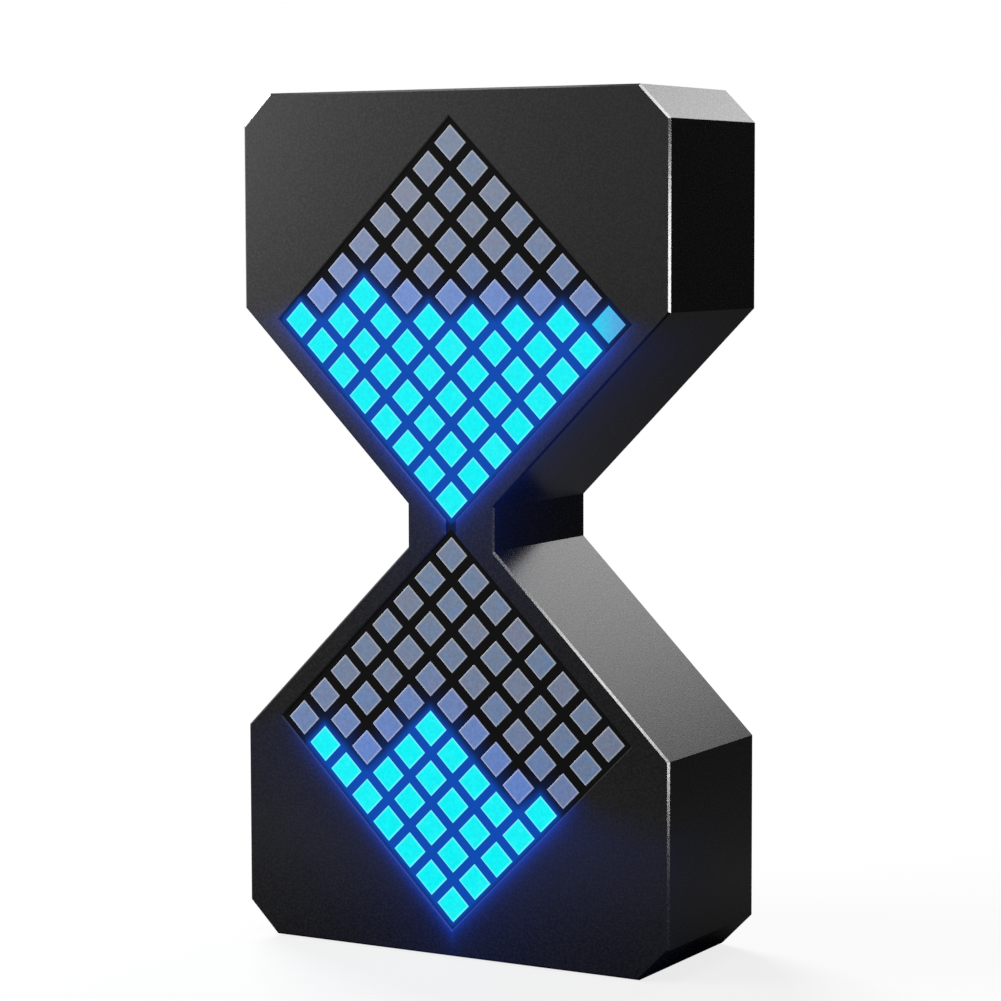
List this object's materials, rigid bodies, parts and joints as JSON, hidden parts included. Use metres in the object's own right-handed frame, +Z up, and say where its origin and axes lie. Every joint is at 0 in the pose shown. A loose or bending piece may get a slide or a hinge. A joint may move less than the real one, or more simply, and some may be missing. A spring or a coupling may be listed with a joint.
{
  "type": "electronic hourglass timer",
  "caption": "Hourglass-shaped electronic desk timer: black case with diamond light matrices above and below the waist, and a screwed rear cover with power slide, buttons and charging inlet.",
  "frame": {"origin": "middle of the underside of the lower feet", "axes": "+Z up along the hourglass, +Y from the display towards the rear cover, +X to the right of someone facing the display"},
  "size_m": [0.0848, 0.033, 0.1511],
  "materials": {
    "case_plastic": "finely textured, satin",
    "grid_plastic": "smooth satin",
    "window_off": "milky translucent, satin",
    "window_lit": "milky translucent, lit from behind",
    "window_dim": "milky translucent, dimly lit from behind",
    "mark_paint": "paint filled into the marks beside the controls",
    "well_plastic": "matt white",
    "circuit_board": "solder mask",
    "led_package": "moulded",
    "chip_resin": "moulded",
    "connector_plastic": "moulded",
    "ribbon_film": "film",
    "gold_plate": "plated",
    "plated_steel": "nickel plated",
    "switch_plastic": "moulded",
    "control_plastic": "satin",
    "clear_plastic": "clear, frosted end",
    "speaker_metal": "black frame",
    "foam": "closed-cell foam",
    "wire_red": "insulation",
    "wire_black": "insulation",
    "cell_foil": "pouch foil",
    "tape": "foam tape",
    "black_screw": "black oxide",
    "zinc_screw": "zinc plated",
    "foot_rubber": "matt"
  },
  "bodies": {
    "case": {"housing": "case_plastic", "rear_cover": "case_plastic", "grid_mask": "grid_plastic", "diffuser_upper": "window_off", "diffuser_lower": "window_off", "light_wells_upper": "well_plastic", "light_wells_lower": "well_plastic", "led_board_upper": "circuit_board", "led_board_lower": "circuit_board", "leds_upper": "led_package", "leds_lower": "led_package", "driver_chips": "chip_resin", "link_sockets": "connector_plastic", "link_ribbon": "ribbon_film", "main_board": "circuit_board", "controller_chip": "chip_resin", "motion_sensor": "chip_resin", "charger_chip": "chip_resin", "header_socket": "chip_resin", "header_pins": "gold_plate", "usb_shell": "plated_steel", "usb_tongue": "chip_resin", "tact_switches": "chip_resin", "switch_body": "plated_steel", "charge_led": "led_package", "charge_light_pipe": "clear_plastic", "speaker": "speaker_metal", "speaker_gasket": "foam", "speaker_leads": "wire_red", "battery": "cell_foil", "battery_tape": "tape", "battery_lead_red": "wire_red", "battery_lead_black": "wire_black", "lead_socket": "connector_plastic", "lead_plug": "connector_plastic", "cover_screws": "black_screw", "main_board_screws": "zinc_screw", "led_board_screws": "zinc_screw", "feet_bottom": "foot_rubber", "feet_top": "foot_rubber"},
    "mode_key": {"mode_button": "control_plastic", "mode_stem": "switch_plastic"},
    "set_key": {"set_button": "control_plastic", "set_stem": "switch_plastic"},
    "power_slider": {"power_knob": "control_plastic", "switch_lever": "switch_plastic"}
  },
  "joints": [
    {"name": "mode_press", "type": "slide", "parent": "case", "child": "mode_key", "axis": [0, -1, 0], "range_m": [0, 0.0005], "stiffness_N_per_m": 800},
    {"name": "set_press", "type": "slide", "parent": "case", "child": "set_key", "axis": [0, -1, 0], "range_m": [0, 0.0005], "stiffness_N_per_m": 800},
    {"name": "power_slide", "type": "slide", "parent": "case", "child": "power_slider", "axis": [1, 0, 0], "range_m": [0, 0.002]}
  ]
}
